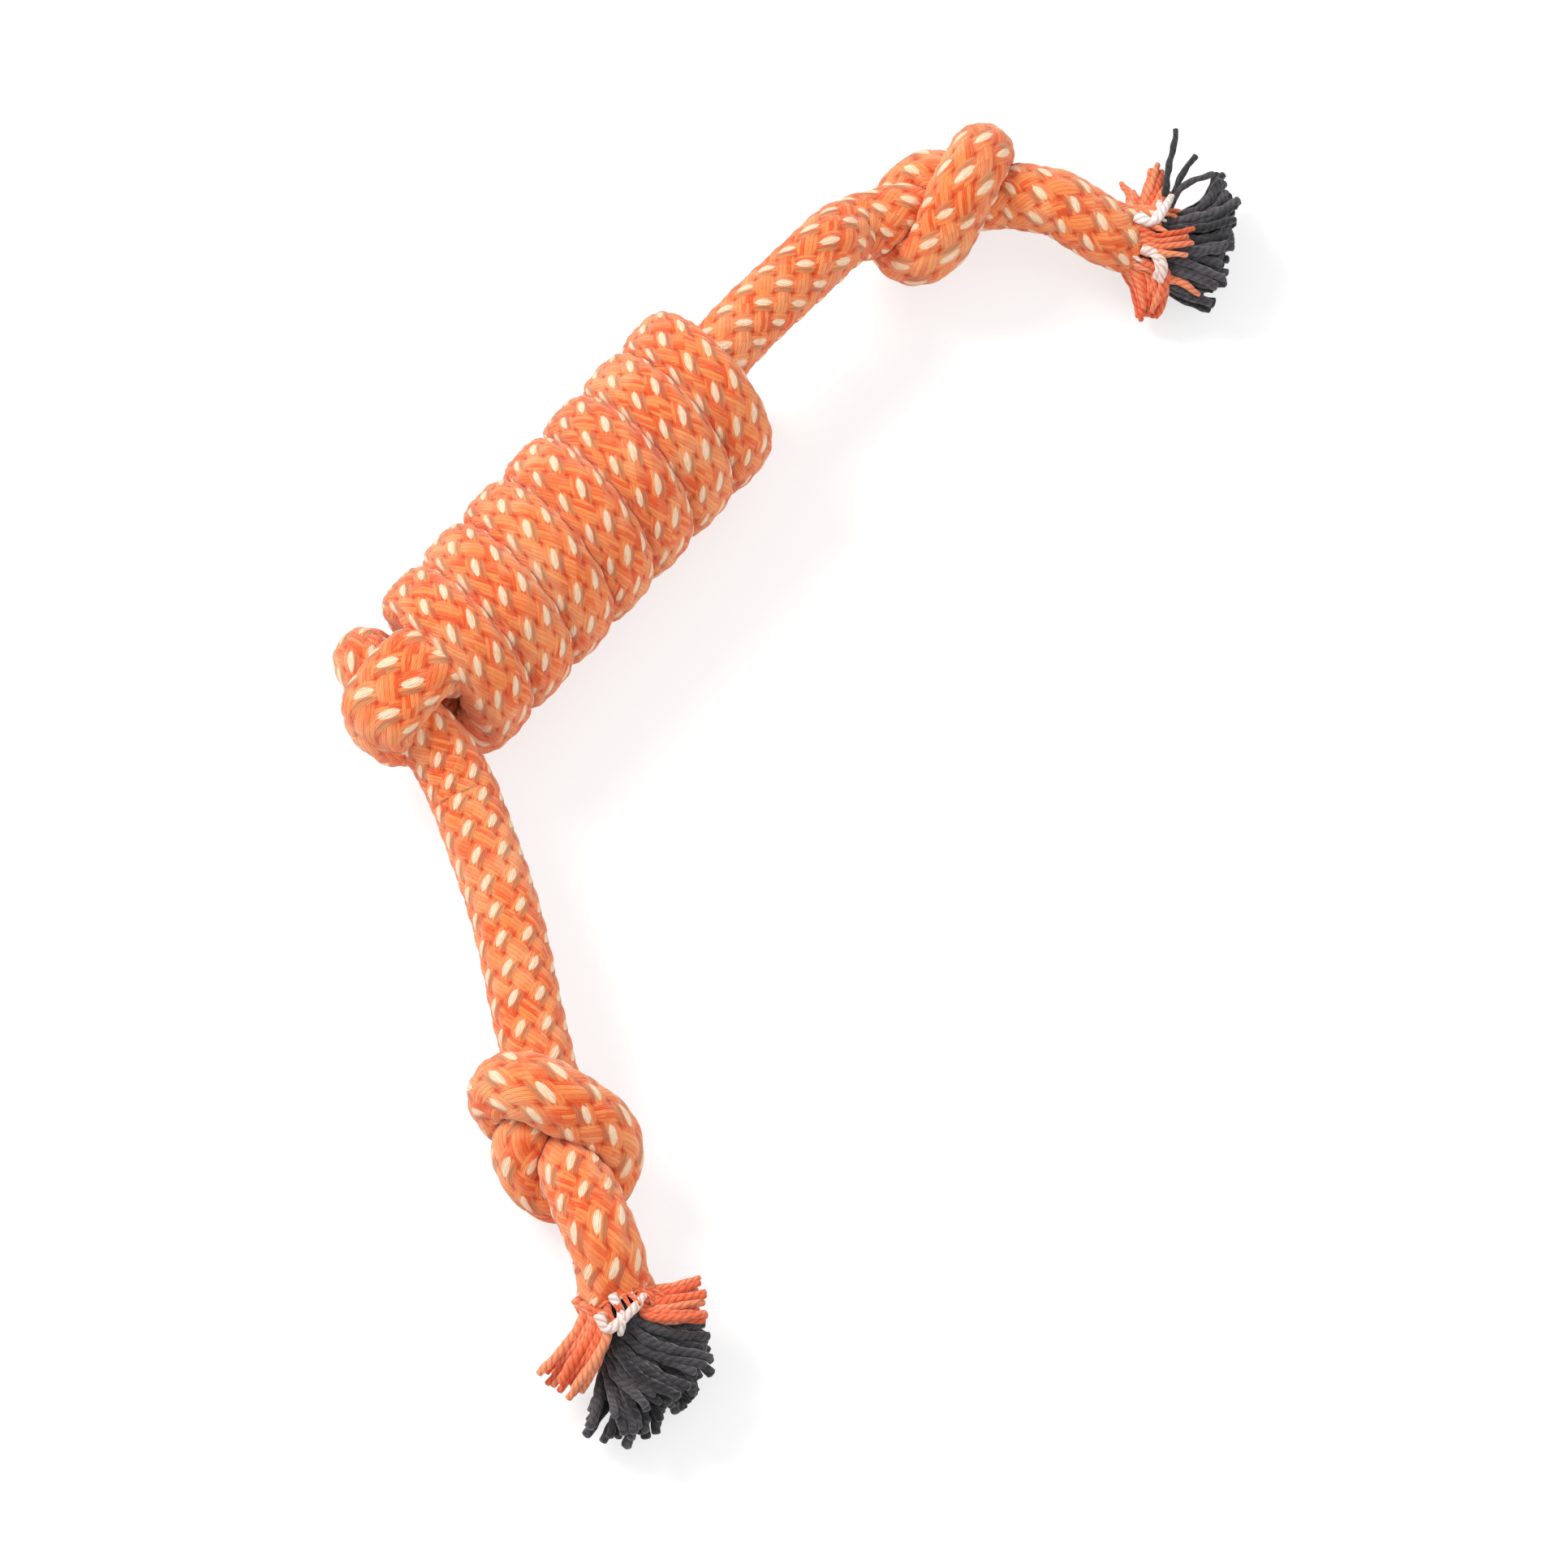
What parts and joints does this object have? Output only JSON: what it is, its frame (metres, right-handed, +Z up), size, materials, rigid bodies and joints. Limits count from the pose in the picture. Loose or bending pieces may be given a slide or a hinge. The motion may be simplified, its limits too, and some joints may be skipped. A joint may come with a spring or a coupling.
{
  "type": "rope dog toy",
  "caption": "Braided rope tug toy: one rope wound tightly over itself into a bar, with a knotted, flexing leg and a frayed tassel at each end",
  "frame": {"origin": "on the flat underside of the middle turn of the wound bar, which is where the toy lies on the ground", "axes": "+X along the bar towards the far leg, +Y across the bar on the ground, +Z up"},
  "size_m": [0.2028, 0.118, 0.0266],
  "materials": {
    "braided_sheath": "braided cotton with cream flecks, matt",
    "core_yarn": "loose charcoal core yarn, matt",
    "frayed_yarn": "unlaid orange sheath yarn, matt"
  },
  "bodies": {
    "bar": {"winding": "braided_sheath", "core_strand_upper": "braided_sheath", "core_strand_lower": "braided_sheath", "bight": "braided_sheath"},
    "near_neck": {"near_neck_sheath": "braided_sheath", "near_neck_core": "core_yarn"},
    "near_leg": {"near_leg_sheath": "braided_sheath", "near_leg_core": "core_yarn", "near_knot": "braided_sheath"},
    "near_tail": {"near_tail_sheath": "braided_sheath", "near_tail_core": "core_yarn"},
    "near_tassel": {"near_fray": "frayed_yarn", "near_brush": "core_yarn"},
    "far_neck": {"far_neck_sheath": "braided_sheath", "far_neck_core": "core_yarn"},
    "far_leg": {"far_leg_sheath": "braided_sheath", "far_leg_core": "core_yarn", "far_knot": "braided_sheath"},
    "far_tail": {"far_tail_sheath": "braided_sheath", "far_tail_core": "core_yarn"},
    "far_tassel": {"far_fray": "frayed_yarn", "far_brush": "core_yarn"}
  },
  "joints": [
    {"name": "near_leg_swing", "type": "hinge", "parent": "bar", "child": "near_neck", "pos_m": [-0.03937, -0.01623, 0.0128], "axis": [0, 0, 1], "range_deg": [-35, 45]},
    {"name": "near_leg_lift", "type": "hinge", "parent": "near_neck", "child": "near_leg", "pos_m": [-0.04607, -0.02738, 0.0128], "axis": [-0.8572, 0.515, 0], "range_deg": [-45, 45]},
    {"name": "near_tail_swing", "type": "hinge", "parent": "near_leg", "child": "near_tail", "pos_m": [-0.07697, -0.07373, 0.0128], "axis": [0, 0, 1], "range_deg": [-30, 16]},
    {"name": "near_tail_lift", "type": "hinge", "parent": "near_tail", "child": "near_tassel", "pos_m": [-0.07995, -0.08111, 0.00979], "axis": [-0.9272, 0.3746, 0], "range_deg": [-30, 30]},
    {"name": "far_leg_swing", "type": "hinge", "parent": "bar", "child": "far_neck", "pos_m": [0.04595, 0.001, 0.0174], "axis": [0, 0, 1], "range_deg": [-45, 40]},
    {"name": "far_leg_lift", "type": "hinge", "parent": "far_neck", "child": "far_leg", "pos_m": [0.05891, 0.00009, 0.0174], "axis": [-0.0698, -0.9976, 0], "range_deg": [-45, 45]},
    {"name": "far_tail_swing", "type": "hinge", "parent": "far_leg", "child": "far_tail", "pos_m": [0.09511, -0.0183, 0.0126], "axis": [0, 0, 1], "range_deg": [-14, 30]},
    {"name": "far_tail_lift", "type": "hinge", "parent": "far_tail", "child": "far_tassel", "pos_m": [0.09624, -0.0263, 0.00994], "axis": [-0.9903, -0.1392, 0], "range_deg": [-30, 30]}
  ]
}
